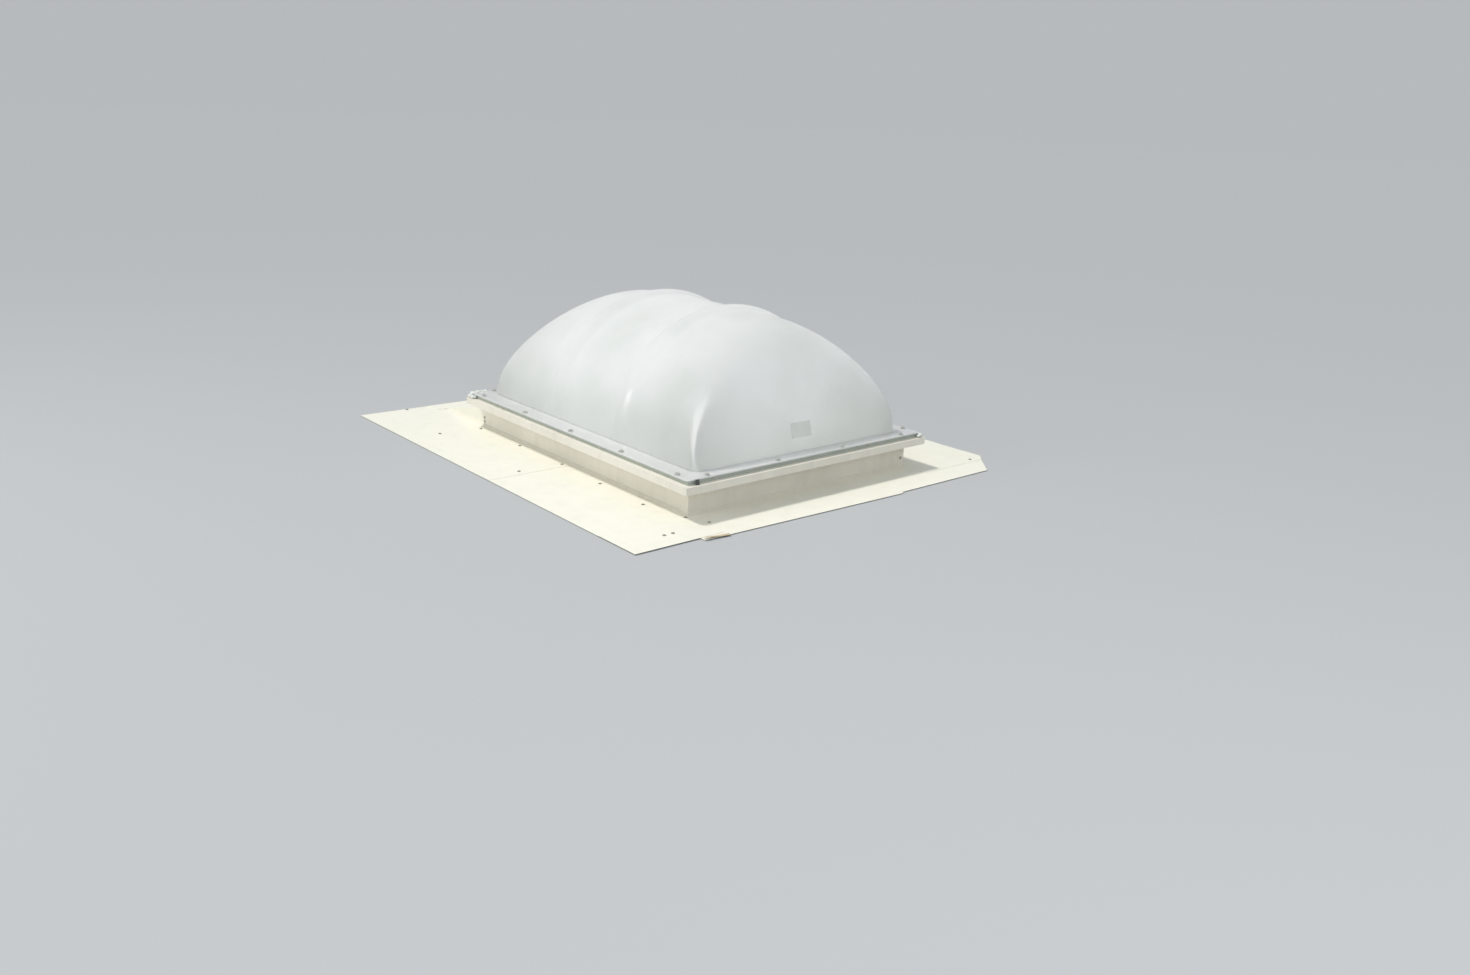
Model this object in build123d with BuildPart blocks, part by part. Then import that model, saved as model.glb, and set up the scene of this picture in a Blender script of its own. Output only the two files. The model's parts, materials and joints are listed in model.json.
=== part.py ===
# Roof skylight: a ribbed translucent dome on a folded sheet-metal curb, with the flashing
# strips that lie on the roof around it and the sloping saddle sheet behind it.
# Millimetres, Z up. Z = 0 is the underside of the curb's base flange, where it lies on the
# roof. The origin is under the middle of the flashing. The front is at -Y, the left at -X.

import math
import os

from build123d import *

os.makedirs("parts", exist_ok=True)

# Curb: four folded sheet panels round the light well
curb_width = 890.0
curb_length = 1120.0
curb_sheet = 1.5
base_flange = 50.0
rim_top = 102.0
rim_overhang = 46.0
lip_depth = 22.0
corner_tab = 28.0
tab_slot_width = 4.0
tab_slot_length = 24.0
tab_slot_centre = 61.0
tab_slot_in = 17.0

# Gasket between the rim and the dome flange
gasket_height = 12.0
gasket_setback = 20.0

# Dome
dome_flange = 4.0
flange_overhang = 32.0
flange_corner = 14.0
dome_inset_side = 29.0
dome_inset_end = 16.0
dome_rise = 368.0
dome_wall = 3.0
end_flatness = 6.9
corner_sharpness = 3.2
rib_spacing = 344.0
rib_half_width = 44.0
rib_height = 15.0
rib_fade = 0.5

# Dome screws: evenly spaced along each side, between two that sit near its corners
screws_along_side = 5
screws_along_end = 4
side_screw_corner = 60.0
end_screw_corner = 78.0
screw_edge = 12.0
screw_radius = 3.0
screw_clearance = 0.3
screw_head_radius = 6.5
screw_head_height = 4.0
screw_reach = 8.0
washer_radius = 9.0
washer_thickness = 1.5

# Flashing: strips of thin sheet that lap over one another
flashing_sheet = 1.0
flashing_gap = 2.0
margin_left = 296.0
margin_right = 315.0
margin_back = 354.0
margin_front_left = 176.0
margin_front_right = 198.0
front_step = 9.0
front_joint = 675.0
left_seam = 576.0
strip_lap = 40.0
joggle = 8.0
left_strip_front = 157.0
front_strip_end = 83.0
right_strip_front = 100.0
right_tip = 30.0
mitre_width = 115.0
mitre_depth = 90.0

# Saddle: the sloping sheet behind the curb, between two upright cheeks
saddle_length = 270.0
saddle_top = 76.0
saddle_upstand = 18.0
saddle_lap = 36.0
cheek_foot = 25.0

# Rivets: (distance out from the side wall, distance back from the front wall)
rivet_head_radius = 5.5
rivet_head_height = 2.5
rivet_crown = 3.0
side_rivets = ((47.0, 146.0), (39.0, 372.0), (28.0, 596.0), (28.0, 849.0), (31.0, 1100.0))
seam_rivet = (177.0, 604.0)
rear_rivet = (177.0, 1114.0)
lap_rivets_out = (123.0, 152.0)
lap_rivets_front = 90.0
edge_rivet_out = 126.0
edge_rivet_in = 10.0
corner_rivet_out = 16.0
corner_rivet_front = 9.0
front_rivet_in = 14.0
front_rivet_front = 75.0
right_rivet_out = 248.0
right_rivet_front = 81.0
tab_rivet_height = 31.0
cheek_rivet_in = 7.0
cheek_rivet_heights = (18.0, 32.0)

# Sealant bead along the foot of the walls
sealant_width = 9.0
sealant_height = 8.0

# Places that follow from the sizes above
half_width = curb_width / 2
half_length = curb_length / 2
centre_x = (margin_left - margin_right) / 2
centre_y = (margin_front_right - margin_back) / 2
left_wall = centre_x - half_width
right_wall = centre_x + half_width
front_wall = centre_y - half_length
back_wall = centre_y + half_length
rim_under = rim_top - curb_sheet
seat = rim_top + gasket_height
flange_top = seat + dome_flange
strip_low = curb_sheet
strip_high = strip_low + flashing_sheet
strip_top = strip_high + flashing_sheet
dome_half_width = half_width - dome_inset_side
dome_half_length = half_length - dome_inset_end
screw_line = flange_overhang - screw_edge


# How a round piece or hole on the small fixings is drawn
small_sides = 6
head_sides = 8

# Where the dome is measured: steps across a rib, shares of the half-length beyond the ribs,
# and the number of parts along one arch
rib_steps = (-1.0, -0.5, 0.0, 0.5, 1.0)
end_shares = (0.55, 0.68, 0.77, 0.84, 0.9, 0.945, 0.975, 0.993, 0.9995)
arch_parts = 16


def bump(distance, reach):
    """Height, from 0 to 1, of a smooth round rib at a distance from its middle."""
    if abs(distance) >= reach:
        return 0.0
    return 0.5 * (1 + math.cos(math.pi * distance / reach))


def arch_places(along):
    """Places along the dome where its arch is drawn: across both ribs, then closer to the ends."""
    half = [rib_spacing / 2 + step * rib_half_width for step in rib_steps]
    half += [along * share for share in end_shares]
    return [-place for place in reversed(half)] + half


def arch_point(turn, y, across, along, rise):
    """One point of an arch: half an ellipse across the dome, brought down towards its ends."""
    x = across * math.cos(math.pi * turn)
    side = math.sin(math.pi * turn)
    end = 1 - (abs(y) / along) ** end_flatness
    if min(side, end) < 1e-6:
        return (x, 0.0)
    fall = side**-corner_sharpness + end**-corner_sharpness - 1
    z = rise * fall ** (-1 / corner_sharpness)
    lift = rib_height * bump(abs(y) - rib_spacing / 2, rib_half_width) * (z / rise) ** rib_fade
    reach = math.hypot(x, z)
    return (x + lift * x / reach, z + lift * z / reach)


def dome_form(inset):
    """Closed solid bounded by the dome surface, with its flat base on top of the flange."""
    across = dome_half_width - inset
    along = dome_half_length - inset
    rise = dome_rise - inset
    turns = [i / arch_parts for i in range(arch_parts + 1)]
    with BuildPart() as form:
        for y in arch_places(along):
            arch = [Vector(*arch_point(turn, y, across, along, rise)) for turn in turns]
            base = (centre_x, centre_y + y, flange_top)
            with BuildSketch(Plane(origin=base, x_dir=(1, 0, 0), z_dir=(0, -1, 0))):
                with BuildLine():
                    add(Edge.make_spline(arch, parameters=turns))
                    Line(arch[-1], arch[0])
                make_face()
        loft(ruled=True)
    return form.part


def even_places(first, last, count):
    """Evenly spaced places, from the first to the last."""
    return [first + (last - first) * i / (count - 1) for i in range(count)]


def screw_places():
    """Dome screw centres, along each side of the flange."""
    corner_y = half_length + flange_overhang - side_screw_corner
    corner_x = half_width + flange_overhang - end_screw_corner
    places = []
    for y in even_places(centre_y - corner_y, centre_y + corner_y, screws_along_side):
        places.append((left_wall - screw_line, y))
        places.append((right_wall + screw_line, y))
    for x in even_places(centre_x - corner_x, centre_x + corner_x, screws_along_end):
        places.append((x, front_wall - screw_line))
        places.append((x, back_wall + screw_line))
    return places


# Dome: one formed shell with two raised ribs over the arch, and a flange
with BuildPart() as dome_shell:
    with BuildSketch(Plane.XY.offset(seat)):
        with Locations((centre_x, centre_y)):
            RectangleRounded(
                curb_width + 2 * flange_overhang,
                curb_length + 2 * flange_overhang,
                flange_corner,
            )
    extrude(amount=dome_flange)
    add(dome_form(0.0))
    hollow = dome_form(dome_wall)
    add(hollow, mode=Mode.SUBTRACT)
    mouth = hollow.faces().sort_by(Axis.Z)[0]
    extrude(mouth, amount=dome_flange, dir=(0, 0, -1), mode=Mode.SUBTRACT)
    with BuildSketch(Plane.XY.offset(seat)):
        with Locations(*screw_places()):
            RegularPolygon(screw_radius + screw_clearance, small_sides)
    extrude(amount=dome_flange, mode=Mode.SUBTRACT)
dome_shell.part.label = "dome_shell"


def gasket_strip(x_from, x_to, y_from, y_to):
    """One straight strip of gasket, with the holes that the screws pass through."""
    with BuildPart() as strip:
        with BuildSketch(Plane.XY.offset(rim_top)):
            with Locations(((x_from + x_to) / 2, (y_from + y_to) / 2)):
                Rectangle(x_to - x_from, y_to - y_from)
            with Locations(*screw_places()):
                RegularPolygon(screw_radius + screw_clearance, small_sides, mode=Mode.SUBTRACT)
        extrude(amount=gasket_height)
    return strip.part


gasket_out = rim_overhang - gasket_setback

with BuildPart() as gasket_front:
    add(gasket_strip(left_wall - gasket_out, right_wall + gasket_out,
                     front_wall - gasket_out, front_wall + curb_sheet))
gasket_front.part.label = "gasket_front"

with BuildPart() as gasket_back:
    add(gasket_strip(left_wall - gasket_out, right_wall + gasket_out,
                     back_wall - curb_sheet, back_wall + gasket_out))
gasket_back.part.label = "gasket_back"

with BuildPart() as gasket_left:
    add(gasket_strip(left_wall - gasket_out, left_wall + curb_sheet,
                     front_wall + curb_sheet, back_wall - curb_sheet))
gasket_left.part.label = "gasket_left"

with BuildPart() as gasket_right:
    add(gasket_strip(right_wall - curb_sheet, right_wall + gasket_out,
                     front_wall + curb_sheet, back_wall - curb_sheet))
gasket_right.part.label = "gasket_right"


def mitred(length, inner, outer):
    """Corners of a strip that runs along a wall and is mitred at both ends."""
    return [
        (inner, inner),
        (length - inner, inner),
        (length + outer, -outer),
        (-outer, -outer),
    ]


def curb_panel(length, slot):
    """One side of the curb, folded from one sheet. Its outer face is Y = 0, X runs along it."""
    with BuildPart() as panel:
        with BuildSketch(Plane.XY):
            Polygon(*mitred(length, curb_sheet, base_flange), align=None)
        extrude(amount=curb_sheet)
        with BuildSketch(Plane.XY.offset(curb_sheet)):
            Polygon(
                (-curb_sheet, 0),
                (length - curb_sheet, 0),
                (length - curb_sheet, curb_sheet),
                (0, curb_sheet),
                (0, corner_tab),
                (-curb_sheet, corner_tab),
                align=None,
            )
        extrude(amount=rim_under - curb_sheet)
        with BuildSketch(Plane.XY.offset(rim_under)):
            Polygon(*mitred(length, curb_sheet, rim_overhang), align=None)
        extrude(amount=curb_sheet)
        with BuildSketch(Plane.XY.offset(rim_top - lip_depth)):
            Polygon(*mitred(length, curb_sheet - rim_overhang, rim_overhang), align=None)
        extrude(amount=lip_depth - curb_sheet)
        if slot:
            with BuildSketch(Plane.YZ.offset(-curb_sheet)):
                with Locations((tab_slot_in, tab_slot_centre)):
                    SlotOverall(tab_slot_length, tab_slot_width, rotation=90)
            extrude(amount=curb_sheet, mode=Mode.SUBTRACT)
    return panel.part


def screw_holes():
    """Pins a little wider than the screws, to cut the holes in the rim."""
    with BuildPart() as pins:
        with BuildSketch(Plane.XY.offset(rim_under)):
            with Locations(*screw_places()):
                RegularPolygon(screw_radius + screw_clearance, small_sides)
        extrude(amount=curb_sheet)
    return pins.part


with BuildPart() as curb_front:
    add(curb_panel(curb_width, False).moved(Location((left_wall, front_wall, 0))))
    add(screw_holes(), mode=Mode.SUBTRACT)
curb_front.part.label = "curb_front"

with BuildPart() as curb_right:
    add(curb_panel(curb_length, True).moved(Location((right_wall, front_wall, 0), (0, 0, 90))))
    add(screw_holes(), mode=Mode.SUBTRACT)
curb_right.part.label = "curb_right"

with BuildPart() as curb_back:
    add(curb_panel(curb_width, False).moved(Location((right_wall, back_wall, 0), (0, 0, 180))))
    add(screw_holes(), mode=Mode.SUBTRACT)
curb_back.part.label = "curb_back"

with BuildPart() as curb_left:
    add(curb_panel(curb_length, False).moved(Location((left_wall, back_wall, 0), (0, 0, -90))))
    add(screw_holes(), mode=Mode.SUBTRACT)
curb_left.part.label = "curb_left"

# Dome screws with sealing washers, down through flange, gasket and rim
with BuildPart() as dome_washers:
    with BuildSketch(Plane.XY.offset(flange_top)):
        with Locations(*screw_places()):
            RegularPolygon(washer_radius, head_sides)
            RegularPolygon(screw_radius + screw_clearance, small_sides, mode=Mode.SUBTRACT)
    extrude(amount=washer_thickness)
dome_washers.part.label = "dome_washers"

screw_seat = flange_top + washer_thickness

with BuildPart() as dome_screws:
    with BuildSketch(Plane.XY.offset(rim_under - screw_reach)):
        with Locations(*screw_places()):
            RegularPolygon(screw_radius, small_sides)
    extrude(amount=screw_seat - rim_under + screw_reach)
    with BuildSketch(Plane.XY.offset(screw_seat)):
        with Locations(*screw_places()):
            RegularPolygon(screw_head_radius, small_sides)
    extrude(amount=screw_head_height)
dome_screws.part.label = "dome_screws"


def lapped_strip(x_from, x_to, flat_from, flat_to, ends):
    """A strip along Y that lies low and steps up over its neighbour at the named ends.

    Each end is the place where the raised part stops; the step starts at the flat part's end.
    """
    lower = []
    front_end, back_end = ends
    if front_end is None:
        lower.append((flat_from, strip_low))
    else:
        lower.append((front_end, strip_high))
        lower.append((flat_from - joggle, strip_high))
        lower.append((flat_from, strip_low))
    if back_end is None:
        lower.append((flat_to, strip_low))
    else:
        lower.append((flat_to, strip_low))
        lower.append((flat_to + joggle, strip_high))
        lower.append((back_end, strip_high))
    upper = [(y, z + flashing_sheet) for y, z in reversed(lower)]
    with BuildPart() as strip:
        with BuildSketch(Plane.YZ.offset(x_from)):
            Polygon(*lower, *upper, align=None)
        extrude(amount=x_to - x_from)
    return strip.part


# Flashing on the left: two lengths, the rear one lapping over the front one
left_edge = left_wall - margin_left
right_edge = right_wall + margin_right
back_edge = back_wall + margin_back
seam = front_wall + left_seam
strip_inner_left = left_wall - flashing_gap
strip_inner_right = right_wall + flashing_gap
strip_inner_front = front_wall - flashing_gap

with BuildPart() as flashing_left_front:
    add(lapped_strip(left_edge, strip_inner_left, strip_inner_front + joggle,
                     seam + strip_lap, (front_wall - left_strip_front, None)))
flashing_left_front.part.label = "flashing_left_front"

with BuildPart() as flashing_left_back:
    add(lapped_strip(left_edge, strip_inner_left, seam + strip_lap + joggle,
                     back_edge, (seam, None)))
flashing_left_back.part.label = "flashing_left_back"

# Flashing on the right: one length that steps up over the front strip
with BuildPart() as flashing_right:
    add(lapped_strip(strip_inner_right, right_edge, strip_inner_front + joggle,
                     back_edge, (front_wall - right_strip_front, None)))
    with BuildSketch(Plane.XY.offset(strip_high)):
        with Locations((right_edge, front_wall - right_strip_front)):
            Polygon((-right_tip, 0), (0, 0), (0, right_tip), align=None)
    extrude(amount=flashing_sheet, mode=Mode.SUBTRACT)
flashing_right.part.label = "flashing_right"

# Flashing at the front: two lengths that meet end to end, the right one set back a little
front_left_edge = left_wall - front_strip_end
joint_x = left_wall + front_joint
mitre_x = right_edge - mitre_width

with BuildPart() as flashing_front_left:
    with BuildSketch(Plane.XY.offset(strip_low)):
        Polygon(
            (front_left_edge, front_wall - margin_front_left),
            (joint_x, front_wall - margin_front_right),
            (joint_x, strip_inner_front),
            (front_left_edge, strip_inner_front),
            align=None,
        )
    extrude(amount=flashing_sheet)
flashing_front_left.part.label = "flashing_front_left"

with BuildPart() as flashing_front_right:
    with BuildSketch(Plane.XY.offset(strip_low)):
        Polygon(
            (joint_x, front_wall - margin_front_right + front_step),
            (mitre_x, front_wall - margin_front_right + front_step),
            (right_edge - right_tip, front_wall - margin_front_right + front_step + mitre_depth),
            (right_edge - right_tip, strip_inner_front),
            (joint_x, strip_inner_front),
            align=None,
        )
    extrude(amount=flashing_sheet)
flashing_front_right.part.label = "flashing_front_right"

# Saddle: upstand against the back wall, slope, and a flat foot that laps the side strips
upstand_face = back_wall + curb_sheet
slope_end = back_wall + saddle_length
slope = math.atan2(saddle_top - strip_high, saddle_length - curb_sheet)
knee = flashing_sheet * math.tan(slope / 2)
upstand_knee = flashing_sheet * math.tan((math.pi / 2 - slope) / 2)

with BuildPart() as back_saddle:
    with BuildSketch(Plane.YZ.offset(left_wall)):
        Polygon(
            (upstand_face, saddle_top),
            (slope_end, strip_high),
            (back_edge, strip_high),
            (back_edge, strip_top),
            (slope_end + knee, strip_top),
            (upstand_face + flashing_sheet, saddle_top + upstand_knee),
            (upstand_face + flashing_sheet, saddle_top + saddle_upstand),
            (upstand_face, saddle_top + saddle_upstand),
            align=None,
        )
    extrude(amount=curb_width)
    with BuildSketch(Plane.XY.offset(strip_high)):
        with Locations((centre_x, (slope_end + back_edge) / 2 + saddle_lap / 4)):
            Rectangle(curb_width + 2 * saddle_lap, back_edge - slope_end - saddle_lap / 2)
    extrude(amount=flashing_sheet)
back_saddle.part.label = "back_saddle"


def cheek_sheet(x_outer, inward, y_start):
    """Upright three-sided cheek under one edge of the saddle, with a foot turned inward."""
    with BuildPart() as cheek:
        with BuildSketch(Plane.YZ.offset(x_outer)):
            Polygon(
                (y_start, strip_low),
                (slope_end, strip_low),
                (slope_end, strip_high),
                (y_start, saddle_top - (y_start - upstand_face) * math.tan(slope)),
                align=None,
            )
        extrude(amount=inward * flashing_sheet)
        with BuildSketch(Plane.XY.offset(strip_low)):
            Polygon(
                (x_outer, upstand_face),
                (x_outer, slope_end - cheek_foot),
                (x_outer + inward * cheek_foot, slope_end - cheek_foot),
                (x_outer + inward * cheek_foot, upstand_face),
                align=None,
            )
        extrude(amount=flashing_sheet)
    return cheek.part


with BuildPart() as saddle_cheek_left:
    add(cheek_sheet(left_wall, 1, upstand_face))
saddle_cheek_left.part.label = "saddle_cheek_left"

with BuildPart() as saddle_cheek_right:
    add(cheek_sheet(right_wall, -1, upstand_face))
saddle_cheek_right.part.label = "saddle_cheek_right"


def rivet_heads(plane, places):
    """Low rivet heads, narrower at the top, on one sheet at places in that sheet's plane."""
    with BuildPart() as heads:
        with BuildSketch(plane):
            with Locations(*places):
                RegularPolygon(rivet_head_radius, head_sides)
        extrude(amount=rivet_head_height, taper=rivet_taper)
    return heads.part


rivet_taper = math.degrees(math.atan2(rivet_head_radius - rivet_crown, rivet_head_height))
seam_rear = seam + strip_lap


def on_strip(y):
    """Top of the left flashing at a place along it."""
    return strip_top if seam < y < seam_rear or y < front_wall else strip_high


# Rivets that hold the flashing strips to the base flange and to one another
left_places = [(left_wall - out, front_wall + back) for out, back in side_rivets]
left_places += [(left_wall - out, front_wall + back) for out, back in (seam_rivet, rear_rivet)]
left_places += [(left_wall - out, front_wall - lap_rivets_front) for out in lap_rivets_out]
left_places.append((left_wall - edge_rivet_out, back_edge - edge_rivet_in))
left_places.append((left_wall - corner_rivet_out, front_wall - corner_rivet_front))
right_places = [(right_wall + out, front_wall + back) for out, back in side_rivets]

with BuildPart() as flashing_rivets:
    for x, y in left_places:
        add(rivet_heads(Plane.XY.offset(on_strip(y)), [(x, y)]))
    add(rivet_heads(Plane.XY.offset(strip_high), right_places))
    add(rivet_heads(Plane.XY.offset(strip_high), [(left_wall + front_rivet_in, front_wall - front_rivet_front)]))
    add(rivet_heads(Plane.XY.offset(strip_top), [(right_wall + right_rivet_out, front_wall - right_rivet_front)]))
flashing_rivets.part.label = "flashing_rivets"

# Rivets through the corner tabs
tab_middle = corner_tab / 2

with BuildPart() as corner_rivets:
    front_face = Plane(origin=(0, front_wall - curb_sheet, 0), x_dir=(1, 0, 0), z_dir=(0, -1, 0))
    right_face = Plane(origin=(right_wall + curb_sheet, 0, 0), x_dir=(0, 1, 0), z_dir=(1, 0, 0))
    add(rivet_heads(front_face, [(right_wall - tab_middle, tab_rivet_height)]))
    add(rivet_heads(right_face, [(back_wall - tab_middle, tab_rivet_height)]))
corner_rivets.part.label = "corner_rivets"

# Rivets that hold the saddle's cheeks
with BuildPart() as cheek_rivets:
    left_face = Plane(origin=(left_wall, 0, 0), x_dir=(0, -1, 0), z_dir=(-1, 0, 0))
    right_face = Plane(origin=(right_wall, 0, 0), x_dir=(0, 1, 0), z_dir=(1, 0, 0))
    rivet_y = back_wall + curb_sheet + cheek_rivet_in
    add(rivet_heads(left_face, [(-rivet_y, height) for height in cheek_rivet_heights]))
    add(rivet_heads(right_face, [(rivet_y, height) for height in cheek_rivet_heights]))
cheek_rivets.part.label = "cheek_rivets"

# Sealant in the angle between the walls and the flashing, round the front and both sides
with BuildPart() as sealant_bead:
    with BuildSketch(Plane.XY.offset(strip_high)):
        with Locations((centre_x, (front_wall + slope_end) / 2)):
            Rectangle(curb_width + 2 * sealant_width, slope_end - front_wall + 2 * sealant_width)
    extrude(amount=sealant_height, taper=math.degrees(math.atan2(sealant_width, sealant_height)))
    with BuildSketch(Plane.XY.offset(strip_high)):
        with Locations((centre_x, front_wall + curb_length)):
            Rectangle(curb_width, 2 * curb_length)
        with Locations((centre_x, slope_end + sealant_width)):
            Rectangle(curb_width + 2 * sealant_width, 2 * sealant_width)
    extrude(amount=sealant_height, mode=Mode.SUBTRACT)
    add(curb_front.part, mode=Mode.SUBTRACT)
    add(curb_right.part, mode=Mode.SUBTRACT)
    add(curb_back.part, mode=Mode.SUBTRACT)
    add(flashing_left_front.part, mode=Mode.SUBTRACT)
    add(flashing_left_back.part, mode=Mode.SUBTRACT)
    add(flashing_right.part, mode=Mode.SUBTRACT)
sealant_bead.part.label = "sealant_bead"

pieces = (
    dome_shell, gasket_front, gasket_back, gasket_left, gasket_right,
    curb_front, curb_right, curb_back, curb_left, dome_washers, dome_screws,
    flashing_left_front, flashing_left_back, flashing_right,
    flashing_front_left, flashing_front_right,
    back_saddle, saddle_cheek_left, saddle_cheek_right,
    flashing_rivets, corner_rivets, cheek_rivets, sealant_bead,
)
for piece in pieces:
    export_step(piece.part, "parts/" + piece.part.label + ".step")
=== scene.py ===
# Looks for the roof skylight: materials, smooth fixings, small worn details, camera and light,
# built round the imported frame. Metres, Z up, the same frame as the solids.

import json
import math

import bmesh
import bpy
from mathutils import Matrix, Vector, noise


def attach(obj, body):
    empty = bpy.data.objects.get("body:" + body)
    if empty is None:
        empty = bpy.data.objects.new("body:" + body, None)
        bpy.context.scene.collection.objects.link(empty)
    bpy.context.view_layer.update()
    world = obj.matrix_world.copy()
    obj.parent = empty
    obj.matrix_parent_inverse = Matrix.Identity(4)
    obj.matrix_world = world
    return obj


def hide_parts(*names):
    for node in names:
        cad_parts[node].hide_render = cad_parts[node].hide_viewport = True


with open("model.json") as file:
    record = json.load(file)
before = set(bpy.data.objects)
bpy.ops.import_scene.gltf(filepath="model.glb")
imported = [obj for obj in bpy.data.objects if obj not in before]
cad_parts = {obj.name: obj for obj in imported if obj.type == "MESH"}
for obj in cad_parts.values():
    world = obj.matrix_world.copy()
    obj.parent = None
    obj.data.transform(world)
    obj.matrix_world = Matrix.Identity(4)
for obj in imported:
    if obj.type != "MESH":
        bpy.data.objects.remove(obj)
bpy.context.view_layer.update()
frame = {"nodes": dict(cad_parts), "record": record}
nodes = frame["nodes"]
scene = bpy.context.scene
scene.view_settings.view_transform = "Standard"


def colour(code):
    """An sRGB hex colour as linear RGBA."""
    values = [int(code[i:i + 2], 16) / 255 for i in (1, 3, 5)]
    linear = [v / 12.92 if v <= 0.04045 else ((v + 0.055) / 1.055) ** 2.4 for v in values]
    return (*linear, 1.0)


def add(tree, kind, settings=None, links=None):
    """Adds a node. Settings name its attributes, links give its inputs a value or a socket."""
    made = tree.nodes.new(kind)
    for name, value in (settings or {}).items():
        setattr(made, name, value)
    for name, value in (links or {}).items():
        socket = made.inputs[name]
        if isinstance(value, bpy.types.NodeSocket):
            tree.links.new(value, socket)
        else:
            socket.default_value = value
    return made


def start_material(name):
    """An empty material with its node tree and the object's own coordinates."""
    material = bpy.data.materials.new(name)
    material.use_nodes = True
    tree = material.node_tree
    tree.nodes.clear()
    place = add(tree, "ShaderNodeTexCoord").outputs["Object"]
    return material, tree, place


def finish_material(tree, shader):
    add(tree, "ShaderNodeOutputMaterial", links={"Surface": shader.outputs[0]})


def clouds(tree, place, scale, detail, roughness=0.5):
    """Soft noise from 0 to 1."""
    return add(tree, "ShaderNodeTexNoise", links={
        "Vector": place, "Scale": scale, "Detail": detail, "Roughness": roughness}).outputs["Fac"]


def spread(tree, value, start, stop, low, high):
    """The value's range from start to stop, spread over low to high."""
    return add(tree, "ShaderNodeMapRange", links={
        "Value": value, "From Min": start, "From Max": stop,
        "To Min": low, "To Max": high}).outputs["Result"]


def total(tree, first, second):
    """Sum, held between 0 and 1."""
    return add(tree, "ShaderNodeMath", {"operation": "ADD", "use_clamp": True}, {
        0: first, 1: second}).outputs[0]


def blend(tree, factor, first, second):
    """Two colours mixed by a factor. The node takes them at its sockets 6 and 7."""
    return add(tree, "ShaderNodeMix", {"data_type": "RGBA"}, {
        "Factor": factor, 6: first, 7: second}).outputs[2]


def relief(tree, height, strength, distance, normal=None):
    """The normal of fine relief, on top of another normal if one is given."""
    links = {"Height": height, "Strength": strength, "Distance": distance}
    if normal is not None:
        links["Normal"] = normal
    return add(tree, "ShaderNodeBump", links=links).outputs["Normal"]


# Coil-coated steel sheet: a polyester paint, smooth and satin, with a faint orange peel.
# Rain leaves a thin film of dust in clouds, runs and specks, and the thin sheet is slightly wavy.
def painted_sheet(name, paint, film, film_amount, waves):
    material, tree, place = start_material(name)
    peel = clouds(tree, place, scale=420.0, detail=2.0)
    patches = clouds(tree, place, scale=5.5, detail=6.0, roughness=0.62)
    specks = clouds(tree, place, scale=95.0, detail=3.0, roughness=0.7)
    upright = add(tree, "ShaderNodeMapping", links={"Vector": place, "Scale": (24.0, 24.0, 1.6)})
    runs = clouds(tree, upright.outputs["Vector"], scale=1.0, detail=4.0)
    swell = clouds(tree, place, scale=4.2, detail=1.0)
    darkening = spread(tree, patches, 0.42, 0.78, 0.0, film_amount)
    darkening = total(tree, darkening, spread(tree, runs, 0.5, 0.85, 0.0, film_amount))
    darkening = total(tree, darkening, spread(tree, specks, 0.66, 0.76, 0.0, film_amount * 1.3))
    fine = relief(tree, peel, strength=0.06, distance=0.0004)
    shader = add(tree, "ShaderNodeBsdfPrincipled", links={
        "Base Color": blend(tree, darkening, colour(paint), colour(film)),
        "Roughness": spread(tree, patches, 0.3, 0.7, 0.36, 0.52),
        "IOR": 1.5,
        "Normal": relief(tree, swell, strength=waves, distance=0.02, normal=fine)})
    finish_material(tree, shader)
    return material


# The curb's paint is the flashing's cream made a little darker, with a darker film: painted shade
# on the curb walls.
shaded_curb_paint = painted_sheet("pre_painted_steel_cream_painted_shade", "#F3EEE2", "#BDB8A8", 0.22, 0.08)
flashing_paint = painted_sheet("pre_painted_steel_cream", "#F9F7EA", "#D3CDBA", 0.16, 0.16)


# Frosted acrylic sheet, thermoformed: milky and translucent, with a satin skin. Light that
# enters on the sunny side scatters in the wall and the air space, so the shaded side glows.
# The coat's IOR makes up for the share of the mix that has no gloss.
# The tint turns darker towards the foot of the dome, by the given darkening; the flange, lower
# still, takes the whole of it.
def frosted_sheet(name, through, darkening):
    material, tree, place = start_material(name)
    patches = clouds(tree, place, scale=3.5, detail=4.0, roughness=0.55)
    grain = clouds(tree, place, scale=600.0, detail=2.0)
    height = add(tree, "ShaderNodeSeparateXYZ", links={"Vector": place}).outputs["Z"]
    # Darker low down: the full darkening below 0.12 m, none above 0.30 m.
    foot = spread(tree, height, 0.12, 0.30, darkening, 0.0)
    film = total(tree, foot, spread(tree, patches, 0.42, 0.75, 0.0, 0.30))
    tint = blend(tree, film, colour("#F1F2F2"), colour("#D3D6D1"))
    skin = add(tree, "ShaderNodeBsdfPrincipled", links={
        "Base Color": tint,
        "Roughness": spread(tree, patches, 0.3, 0.7, 0.38, 0.48),
        "IOR": 1.49,
        "Coat Weight": 1.0, "Coat Roughness": 0.18, "Coat IOR": 2.2,
        "Normal": relief(tree, grain, strength=0.02, distance=0.0003)})
    glow = add(tree, "ShaderNodeBsdfTranslucent", links={"Color": tint})
    shader = add(tree, "ShaderNodeMixShader", links={
        0: through, 1: skin.outputs["BSDF"], 2: glow.outputs["BSDF"]})
    finish_material(tree, shader)
    return material


acrylic = frosted_sheet("frosted_acrylic", 0.67, 0.36)
flat_acrylic = frosted_sheet("frosted_acrylic_flange", 0.14, 0.12)


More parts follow.
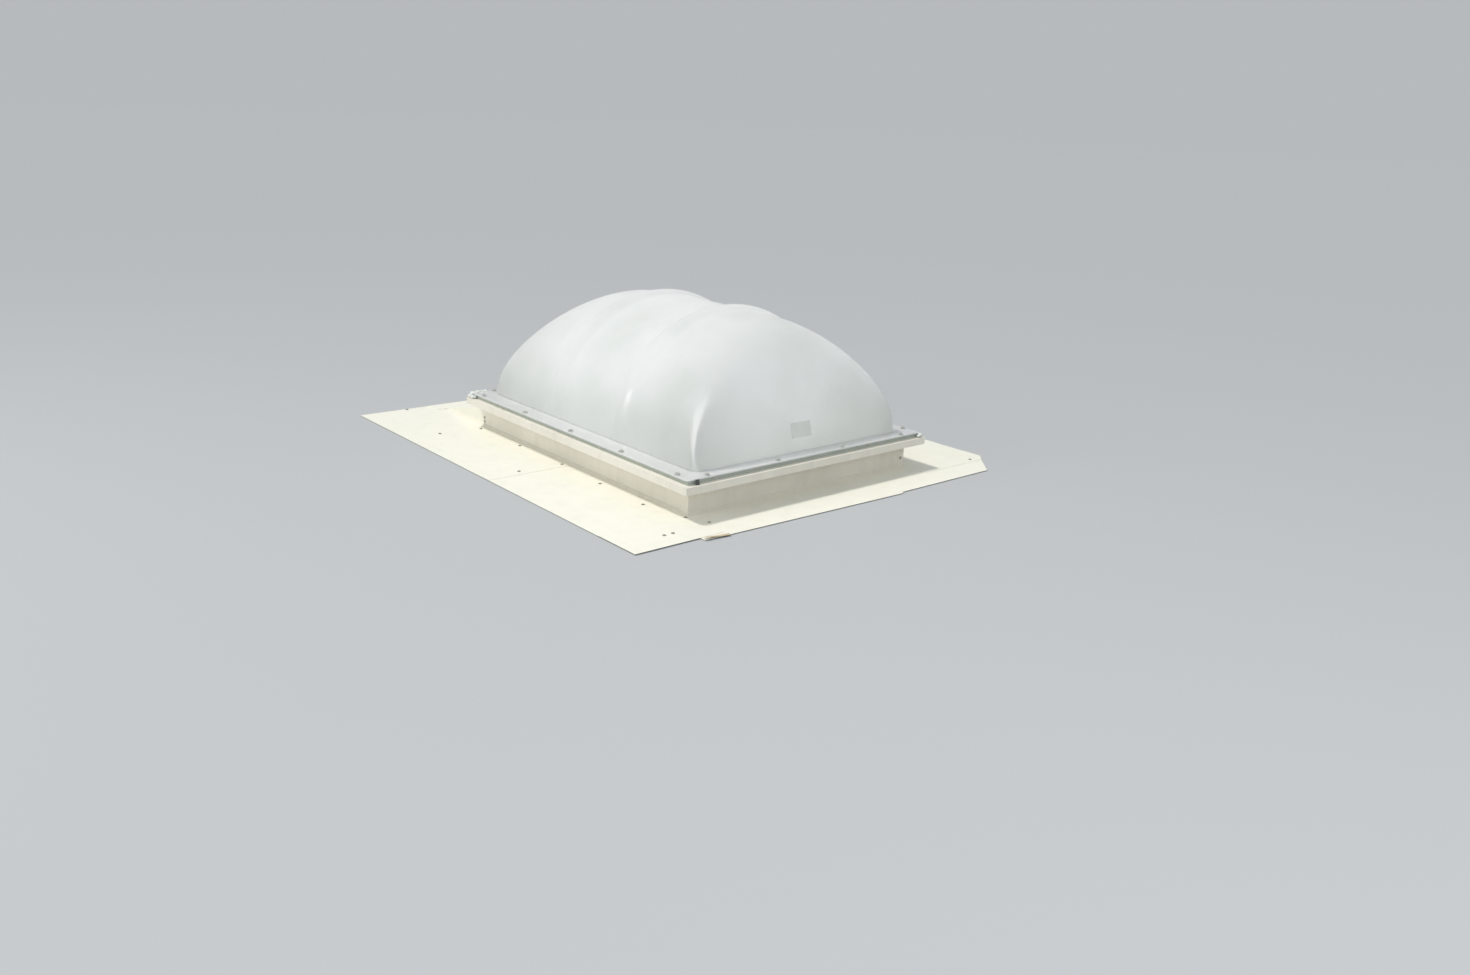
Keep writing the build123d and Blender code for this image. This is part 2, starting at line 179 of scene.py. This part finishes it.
# Dry, matte surfaces with a mottled bloom: closed-cell EPDM, hand-laid sealant and silicone,
# and paint that rust has stained.
def matte(name, deep, bloom):
    material, tree, place = start_material(name)
    mottle = clouds(tree, place, scale=60.0, detail=5.0)
    shader = add(tree, "ShaderNodeBsdfPrincipled", links={
        "Base Color": blend(tree, mottle, colour(deep), colour(bloom)),
        "Roughness": 0.8,
        "Normal": relief(tree, mottle, strength=0.25, distance=0.0006)})
    finish_material(tree, shader)
    return material


epdm = matte("epdm_rubber", "#AFB7AB", "#CAD0C5")
dark_epdm = matte("epdm_rubber_dark", "#4A4D4A", "#6C706B")
sealant = matte("neutral_sealant", "#E6E1D0", "#F4F0E3")
clear_sealant = matte("clear_silicone", "#DCE0DA", "#F2F4F0")
rust = matte("rust_stained_edge", "#A5845F", "#F0E7CB")


# Zinc-plated steel and aluminium fixings that have dulled outdoors.
def dull_metal(name, deep, bloom):
    material, tree, place = start_material(name)
    tarnish = clouds(tree, place, scale=260.0, detail=4.0)
    shader = add(tree, "ShaderNodeBsdfPrincipled", links={
        "Base Color": blend(tree, tarnish, colour(deep), colour(bloom)),
        "Metallic": 0.85,
        "Roughness": spread(tree, tarnish, 0.3, 0.7, 0.4, 0.62)})
    finish_material(tree, shader)
    return material


zinc = dull_metal("weathered_zinc_plate", "#8E8E86", "#B4B3A8")
pale_zinc = dull_metal("bright_zinc_plate", "#CFD1CB", "#E4E5DF")
rivet_aluminium = dull_metal("weathered_aluminium", "#A8A69A", "#C6C4B7")


# Blank label, a thin see-through film: pale grey, slightly faded in patches.
def faded_label():
    material, tree, place = start_material("blank_label_film")
    patches = clouds(tree, place, scale=45.0, detail=4.0)
    shader = add(tree, "ShaderNodeBsdfPrincipled", links={
        "Base Color": blend(tree, patches, colour("#CDD0C8"), colour("#DFE1DA")),
        "Roughness": 0.45,
        "Alpha": 0.18,
        "Normal": relief(tree, patches, strength=0.1, distance=0.0003)})
    finish_material(tree, shader)
    return material


label_film = faded_label()

finishes = {
    "glazing": acrylic,
    "curb_sheet": shaded_curb_paint,
    "flashing_sheet": flashing_paint,
    "gasket": epdm,
    "fixings": zinc,
    "sealant": sealant,
}
for part in frame["record"]["subparts"]:
    held = nodes[part["node"]].data.materials
    held.clear()
    held.append(finishes[part["material_slot"]])


def reach(node):
    """Lowest and highest corner of a node's box."""
    spots = [vert.co for vert in nodes[node].data.vertices]
    low = Vector([min(spot[i] for spot in spots) for i in range(3)])
    high = Vector([max(spot[i] for spot in spots) for i in range(3)])
    return low, high


# Points nearer than this are one point
tiny = 1e-6

# Places and sizes of the solids that the smooth pieces stand for or lie on
shell_low, shell_high = reach("dome_shell")
centre_x, centre_y = (shell_low.x + shell_high.x) / 2, (shell_low.y + shell_high.y) / 2
flange_x, flange_y = (shell_high.x - shell_low.x) / 2, (shell_high.y - shell_low.y) / 2
rim_top = reach("curb_front")[1].z
seat = shell_low.z
flange_top = reach("dome_washers")[0].z
strip_top = reach("flashing_front_left")[1].z
flange_overhang, flange_corner = 0.032, 0.014
foot_inset_x, foot_inset_y = 0.029, 0.016
wall_x, wall_y = flange_x - flange_overhang, flange_y - flange_overhang
dome_x, dome_y, dome_rise = wall_x - foot_inset_x, wall_y - foot_inset_y, 0.368
dome_wall = 0.003
end_flatness, corner_sharpness = 6.9, 3.2
rib_place, rib_half_width, rib_height, rib_fade = 0.172, 0.044, 0.015, 0.5
shank_length = 0.027

# Sizes of what only the scene shows
foot_corner = 0.024
edge_round = 0.0008
label_x, label_level = 0.003, 0.062
label_half_width, label_half_height = 0.040, 0.022
label_gap, label_thickness = 0.0006, 0.0004
gasket_end_x, gasket_end_level, gasket_end_out = 0.001, 0.108, 0.0345
gasket_end_half_width, gasket_end_half_height = 0.0065, 0.0085
gasket_end_droop, gasket_end_thickness = 0.004, 0.003
lump_level, lump_flatness, lump_gap = 0.006, 0.62, 0.0003
fold_scale, fold_height = 90.0, 0.0030
wrinkle_scale, wrinkle_height = 280.0, 0.0014
back_lumps_out, front_lumps_out = (0.034, 0.034), (0.035, 0.033)
curl_left, curl_front = 0.080, 0.1755
curl_length, curl_width, curl_slant = 0.080, 0.012, 0.0098
curl_rise, curl_twist, curl_gap, curl_thickness = 0.007, 0.6, 0.0009, 0.0007

# How finely the smooth pieces are divided
dome_steps = (150, 200)
label_steps = (12, 8)
gasket_end_steps = (4, 6)
curl_steps = (24, 6)
lump_divisions = 4
corner_points = 8
rivet_sides, washer_sides, shank_sides, hexagon = 20, 28, 12, 6

# Half sections of the turned fixings: (radius, height) from the top down
rivet_profile = [
    (0.0012, 0.0025), (0.0026, 0.00235), (0.0038, 0.0019), (0.0048, 0.0012),
    (0.0054, 0.0004), (0.0055, 0.0)]
washer_profile = [
    (0.0034, 0.0015), (0.0078, 0.0015), (0.0087, 0.0011), (0.0090, 0.0004), (0.0090, 0.0)]
head_profile = [(0.0052, 0.0040), (0.0062, 0.0034), (0.0065, 0.0028), (0.0065, 0.0)]
shank_profile = [(0.0030, shank_length), (0.0030, 0.0030), (0.0012, 0.0)]


def show(shape, name, material, stands_for=()):
    """Puts a finished bmesh in the scene as one piece of the skylight."""
    mesh = bpy.data.meshes.new(name)
    shape.to_mesh(mesh)
    shape.free()
    mesh.materials.append(material)
    piece = bpy.data.objects.new(name, mesh)
    scene.collection.objects.link(piece)
    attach(piece, "root")
    if stands_for:
        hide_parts(*stands_for)
    return piece


def grid(steps):
    """A new flat grid from -1 to 1 both ways, to be bent into shape."""
    shape = bmesh.new()
    bmesh.ops.create_grid(shape, x_segments=steps[0], y_segments=steps[1], size=1.0)
    return shape


def smooth(shape):
    for face in shape.faces:
        face.smooth = True


def face_outward(shape, outward):
    """Turns the whole sheet so that its faces look the given way on the whole."""
    bmesh.ops.recalc_face_normals(shape, faces=shape.faces)
    if sum(face.normal.dot(outward) for face in shape.faces) < 0:
        bmesh.ops.reverse_faces(shape, faces=shape.faces)


def soften(piece):
    """Small round on every sharp edge."""
    bevel = piece.modifiers.new("edges", "BEVEL")
    bevel.width = edge_round
    bevel.segments = 2
    bevel.limit_method = "ANGLE"
    bevel.angle_limit = math.radians(40)


def dome_place(turn, share):
    """A point of the dome: half an ellipse across, brought down towards its ends, two ribs."""
    x, y = -dome_x * math.cos(math.pi * turn), dome_y * share
    side, end = math.sin(math.pi * turn), 1 - abs(share) ** end_flatness
    if min(side, end) < tiny:
        return Vector((x, y, 0.0))
    fall = side ** -corner_sharpness + end ** -corner_sharpness - 1
    z = dome_rise * fall ** (-1 / corner_sharpness)
    away = abs(abs(y) - rib_place) / rib_half_width
    lift = 0.0
    if away < 1:
        swell = 0.5 * (1 + math.cos(math.pi * away))
        lift = rib_height * swell * (z / dome_rise) ** rib_fade
    out = math.hypot(x, z)
    return Vector((x + lift * x / out, y, z + lift * z / out))


def round_corner(place):
    """The same point, moved in where it lies in one of the foot's four round corners."""
    over_x = (abs(place.x) - dome_x + foot_corner) / foot_corner
    over_y = (abs(place.y) - dome_y + foot_corner) / foot_corner
    if min(over_x, over_y) <= 0:
        return place
    share_x = over_x * math.sqrt(1 - min(over_y, 1.0) ** 2 / 2)
    share_y = over_y * math.sqrt(1 - min(over_x, 1.0) ** 2 / 2)
    x = dome_x - foot_corner + foot_corner * share_x
    y = dome_y - foot_corner + foot_corner * share_y
    return Vector((math.copysign(x, place.x), math.copysign(y, place.y), place.z))


# Dome: a fine grid bent over the form and thickened inwards
def dome():
    shape = grid(dome_steps)
    for vert in shape.verts:
        share = math.sin(vert.co.y * math.pi / 2)
        vert.co = round_corner(dome_place((vert.co.x + 1) / 2, share))
    face_outward(shape, Vector((0, 0, 1)))
    bmesh.ops.solidify(shape, geom=shape.faces[:], thickness=dome_wall)
    smooth(shape)
    bmesh.ops.translate(shape, verts=shape.verts, vec=(centre_x, centre_y, flange_top))
    return show(shape, "dome", acrylic, ("dome_shell",))


def rounded_outline(half_x, half_y, radius):
    """Points round a rounded rectangle, anticlockwise from its right side."""
    points = []
    for quarter in range(4):
        middle = math.pi / 4 + quarter * math.pi / 2
        middle_x = math.copysign(half_x - radius, math.cos(middle))
        middle_y = math.copysign(half_y - radius, math.sin(middle))
        for step in range(corner_points):
            angle = math.pi / 2 * (quarter + step / (corner_points - 1))
            points.append((middle_x + radius * math.cos(angle),
                           middle_y + radius * math.sin(angle)))
    return points


def angle_round(vert):
    """Where a point lies round the middle, from 0 to a full turn."""
    return math.atan2(vert.co.y, vert.co.x) % (2 * math.pi)


# The dome's flat flange: a closed ring with round corners, outside and where the dome stands
def dome_flange():
    inner = (dome_x - dome_wall, dome_y - dome_wall, foot_corner - dome_wall)
    outer = (flange_x, flange_y, flange_corner)
    section = [
        (inner, seat), (outer, seat), (outer, flange_top), (inner, flange_top), (inner, seat)]
    shape = bmesh.new()
    bmesh.ops.create_circle(shape, segments=4 * corner_points, radius=1.0)
    ring, edges = set(shape.verts), shape.edges[:]
    for count, (outline, height) in enumerate(section):
        if count:
            pushed = bmesh.ops.extrude_edge_only(shape, edges=edges)["geom"]
            ring = {item for item in pushed if isinstance(item, bmesh.types.BMVert)}
            edges = [item for item in pushed
                     if isinstance(item, bmesh.types.BMEdge) and ring.issuperset(item.verts)]
        for vert, (x, y) in zip(sorted(ring, key=angle_round), rounded_outline(*outline)):
            vert.co = Vector((x, y, height))
    bmesh.ops.remove_doubles(shape, verts=shape.verts, dist=tiny)
    bmesh.ops.recalc_face_normals(shape, faces=shape.faces)
    bmesh.ops.translate(shape, verts=shape.verts, vec=(centre_x, centre_y, 0.0))
    piece = show(shape, "dome_flange", flat_acrylic)
    soften(piece)
    return piece


# Blank label on the front end of the dome: a thin sheet that follows the curve
def label():
    shape = grid(label_steps)
    for vert in shape.verts:
        x = label_x + label_half_width * vert.co.x
        z = label_level + label_half_height * vert.co.y
        side = math.sqrt(1 - (x / dome_x) ** 2)
        fall = (z / dome_rise) ** -corner_sharpness - side ** -corner_sharpness + 1
        end = fall ** (-1 / corner_sharpness)
        vert.co = Vector((x, -dome_y * (1 - end) ** (1 / end_flatness), z))
    face_outward(shape, Vector((0, -1, 0)))
    for vert in shape.verts:
        vert.co += vert.normal * label_gap
    bmesh.ops.solidify(shape, geom=shape.faces[:], thickness=label_thickness)
    smooth(shape)
    bmesh.ops.translate(shape, verts=shape.verts, vec=(centre_x, centre_y, flange_top))
    show(shape, "blank_label", label_film)


def turned(shape, profile, place, axis, sides):
    """Adds one piece turned about its own axis, which stands on a place."""
    radius, height = profile[0]
    ring = bmesh.ops.create_circle(shape, segments=sides, radius=radius, cap_ends=True)["verts"]
    made = set(ring)
    for vert in ring:
        vert.co.z = height
    edges = list({edge for vert in ring for edge in vert.link_edges})
    for radius, height in profile[1:]:
        pushed = bmesh.ops.extrude_edge_only(shape, edges=edges)["geom"]
        ring = [item for item in pushed if isinstance(item, bmesh.types.BMVert)]
        edges = [item for item in pushed if isinstance(item, bmesh.types.BMEdge)]
        for vert in ring:
            flat = Vector((vert.co.x, vert.co.y, 0.0)).normalized() * radius
            vert.co = Vector((flat.x, flat.y, height))
        made.update(ring)
        edges = [edge for edge in edges if all(vert in ring for vert in edge.verts)]
    bmesh.ops.contextual_create(shape, geom=edges)
    turn = Vector(axis).to_track_quat("Z", "Y").to_matrix().to_4x4()
    bmesh.ops.transform(shape, matrix=Matrix.Translation(place) @ turn, verts=list(made))


def island(start, left):
    """All the points joined to one, taken out of those that are left."""
    found = [start]
    for vert in found:
        for edge in vert.link_edges:
            other = edge.other_vert(vert)
            if other in left:
                left.remove(other)
                found.append(other)
    return found


def solid_boxes(node):
    """Lowest and highest corner of each separate solid in a node."""
    shape = bmesh.new()
    shape.from_mesh(nodes[node].data)
    bmesh.ops.remove_doubles(shape, verts=shape.verts, dist=tiny)
    left = set(shape.verts)
    boxes = []
    while left:
        spots = [vert.co for vert in island(left.pop(), left)]
        low = tuple(round(min(spot[i] for spot in spots), 6) for i in range(3))
        high = tuple(round(max(spot[i] for spot in spots), 6) for i in range(3))
        boxes.append((low, high))
    shape.free()
    return sorted(boxes)


def rivets(node, name):
    """Domed heads that lie where the node's own heads lie."""
    shape = bmesh.new()
    for low, high in solid_boxes(node):
        size = [high[i] - low[i] for i in range(3)]
        thin = size.index(min(size))
        foot = [(high[i] + low[i]) / 2 for i in range(3)]
        outward = 1 if thin == 2 or foot[thin] > (centre_x, centre_y)[thin] else -1
        foot[thin] = low[thin] if outward == 1 else high[thin]
        axis = [0.0, 0.0, 0.0]
        axis[thin] = float(outward)
        turned(shape, rivet_profile, foot, axis, rivet_sides)
    smooth(shape)
    show(shape, name, rivet_aluminium, (node,))


# Round sealing washers, and hexagon screw heads with a small round on their edges
def dome_fixings():
    upright = (0, 0, 1)
    washers = bmesh.new()
    screws = bmesh.new()
    for low, high in solid_boxes("dome_washers"):
        x, y = (low[0] + high[0]) / 2, (low[1] + high[1]) / 2
        turned(washers, washer_profile, (x, y, low[2]), upright, washer_sides)
        turned(screws, head_profile, (x, y, high[2]), upright, hexagon)
        turned(screws, shank_profile, (x, y, high[2] - shank_length), upright, shank_sides)
    smooth(washers)
    show(washers, "dome_washer_rings", pale_zinc, ("dome_washers",))
    show(screws, "dome_screw_heads", pale_zinc, ("dome_screws",))


# Short dark end of the gasket strip that hangs out below the flange near the front left corner
def gasket_end():
    shape = grid(gasket_end_steps)
    for vert in shape.verts:
        low_share = (1 - vert.co.y) / 2
        vert.co = Vector((
            centre_x - wall_x + gasket_end_x + gasket_end_half_width * vert.co.x,
            centre_y - wall_y - gasket_end_out - gasket_end_droop * low_share ** 2,
            gasket_end_level + gasket_end_half_height * vert.co.y))
    bmesh.ops.solidify(shape, geom=shape.faces[:], thickness=gasket_end_thickness)
    bmesh.ops.recalc_face_normals(shape, faces=shape.faces)
    soften(show(shape, "gasket_end", dark_epdm))


# Lumps of silicone pressed into the open ends of the gasket at two corners of the rim
def corner_lumps(name, x, y, lumps):
    """Uneven squashed lumps, each (x, y, z, radius) from a spot near a corner of the rim."""
    corner = Vector((x, y, rim_top + lump_level))
    squash = Matrix.Diagonal((1.0, 1.0, lump_flatness, 1.0))
    shape = bmesh.new()
    for *offset, radius in lumps:
        spot = Matrix.Translation(corner + Vector(offset)) @ squash
        bmesh.ops.create_icosphere(
            shape, subdivisions=lump_divisions, radius=radius, matrix=spot)
    for vert in shape.verts:
        folds = noise.noise(vert.co * fold_scale) * fold_height
        wrinkles = noise.noise(vert.co * wrinkle_scale) * wrinkle_height
        vert.co += vert.normal * (folds + wrinkles)
        vert.co.z = max(vert.co.z, rim_top + lump_gap)
    smooth(shape)
    show(shape, name, clear_sealant)


# Left end of the front strip: a narrow tongue of sheet, curled up and rusted at its cut edge
def curled_end():
    shape = grid(curl_steps)
    left, front = centre_x - wall_x - curl_left, centre_y - wall_y - curl_front
    for vert in shape.verts:
        along, across = (vert.co.x + 1) / 2, (vert.co.y + 1) / 2
        lift = curl_rise * (1 - along) ** 2 * (1 - curl_twist * across)
        vert.co = Vector((
            left + curl_length * along,
            front + curl_width * across - curl_slant * along,
            strip_top + curl_gap + lift))
    bmesh.ops.recalc_face_normals(shape, faces=shape.faces)
    bmesh.ops.solidify(shape, geom=shape.faces[:], thickness=curl_thickness)
    smooth(shape)
    show(shape, "curled_strip_end", rust)


glazing = [dome(), dome_flange()]
label()
rivets("flashing_rivets", "flashing_rivet_heads")
rivets("corner_rivets", "corner_rivet_heads")
rivets("cheek_rivets", "cheek_rivet_heads")
dome_fixings()
gasket_end()
corner_lumps(
    "silicone_back_left",
    centre_x - wall_x - back_lumps_out[0], centre_y + wall_y + back_lumps_out[1],
    ((-0.003, -0.002, 0.001, 0.0110), (-0.003, -0.020, 0.0, 0.0080),
     (0.010, 0.002, 0.006, 0.0115), (0.025, 0.002, 0.009, 0.0100),
     (0.040, 0.001, 0.010, 0.0085), (0.056, 0.0, 0.010, 0.0070)))
corner_lumps(
    "silicone_front_right",
    centre_x + wall_x + front_lumps_out[0], centre_y - wall_y - front_lumps_out[1],
    ((0.0, 0.0, 0.0, 0.0080), (0.002, 0.014, 0.001, 0.0066),
     (-0.013, -0.003, 0.0, 0.0058)))
curled_end()

# Camera at the photograph's place, found from its perspective
lens_pixels = 1171.9
image_width = 1470.0
sensor_width = 36.0
eye = Vector((-2.3946, -3.0201, 1.079))
right = Vector((0.75715, -0.65181, 0.04321))
up = Vector((0.1689, 0.25925, 0.95093))
back = Vector((-0.63103, -0.7127, 0.30638))
camera_data = bpy.data.cameras.new("camera")
camera_data.sensor_width = sensor_width
camera_data.lens = lens_pixels / image_width * sensor_width
camera = bpy.data.objects.new("camera", camera_data)
turn = Matrix((right, up, back)).transposed().to_4x4()
camera.matrix_world = Matrix.Translation(eye) @ turn
scene.collection.objects.link(camera)
scene.camera = camera

# Pale floor, just under the skylight
floor_half, floor_drop = 60.0, 0.0005
floor_shape = bmesh.new()
bmesh.ops.create_grid(floor_shape, x_segments=1, y_segments=1, size=floor_half)
bmesh.ops.translate(floor_shape, verts=floor_shape.verts, vec=(0, 0, -floor_drop))
floor_mesh = bpy.data.meshes.new("floor")
floor_shape.to_mesh(floor_mesh)
floor_shape.free()
floor = bpy.data.objects.new("floor", floor_mesh)
scene.collection.objects.link(floor)
floor_material, tree, place = start_material("pale_floor")
shader = add(tree, "ShaderNodeBsdfPrincipled", links={
    "Base Color": colour("#BDBFC1"), "Roughness": 0.9, "Specular IOR Level": 0.1})
finish_material(tree, shader)
floor_mesh.materials.append(floor_material)


def lamp(name, kind, toward, distance, aim_at):
    """A lamp that faces a point from a direction, with its data."""
    data = bpy.data.lights.new(name, kind)
    made = bpy.data.objects.new(name, data)
    made.location = aim_at + toward.normalized() * distance
    made.rotation_mode = "QUATERNION"
    made.rotation_quaternion = toward.to_track_quat("Z", "Y")
    scene.collection.objects.link(made)
    return made, data


lamp_aim = Vector((centre_x, centre_y, 0.2))


def area_lamp(name, toward, distance, size, power):
    """A rectangular lamp that faces the skylight."""
    made, data = lamp(name, "AREA", Vector(toward), distance, lamp_aim)
    data.shape = "RECTANGLE"
    data.size, data.size_y = size
    data.energy = power
    return made


# Soft studio light: a far key lamp high behind the left side, a softbox on the camera's side,
# a reflector card that lights only the gloss of the dome and its flange and draws the long
# highlight down the near edge, a low lamp on the left, and a faint one in the light well for
# the daylight that bounces about in there.
key, key_data = lamp("key", "SUN", Vector((-0.33, 0.46, 1.0)), 5.5, Vector((0, 0, 0)))
key_data.angle = math.radians(8)
key_data.energy = 1.92
key_data.color = (1.0, 0.975, 0.92)
key.visible_glossy = False
softbox = area_lamp("softbox", (-0.25, -0.80, 0.55), 4.6, (2.0, 2.5), 24.0)
softbox.visible_glossy = False
card = area_lamp("reflector_card", (-0.60, -0.66, 0.50), 4.0, (6.4, 5.6), 380.0)
card.visible_diffuse = False
card.visible_transmission = False
card.light_linking.receiver_collection = bpy.data.collections.new("seen_by_glazing")
for piece in glazing:
    card.light_linking.receiver_collection.objects.link(piece)
area_lamp("side", (-0.93, 0.15, 0.34), 5.0, (2.0, 1.6), 34.0)
well = area_lamp("light_well", (0.0, 0.0, -1.0), 0.19, (0.80, 1.00), 3.8)
well.visible_glossy = False

# Even pale surround, and the floor's own tone where it is seen, mirrored or looked through to
world = bpy.data.worlds.new("surround")
scene.world = world
world.use_nodes = True
tree = world.node_tree
tree.nodes.clear()
path = add(tree, "ShaderNodeLightPath").outputs
straight = total(tree, path["Is Camera Ray"], path["Is Transmission Ray"])
seen = total(tree, straight, path["Is Glossy Ray"])
level = blend(tree, seen, (0.40, 0.43, 0.46, 1.0), colour("#B7BABC"))
surround = add(tree, "ShaderNodeBackground", links={"Color": level, "Strength": 1.0})
add(tree, "ShaderNodeOutputWorld", links={"Surface": surround.outputs["Background"]})
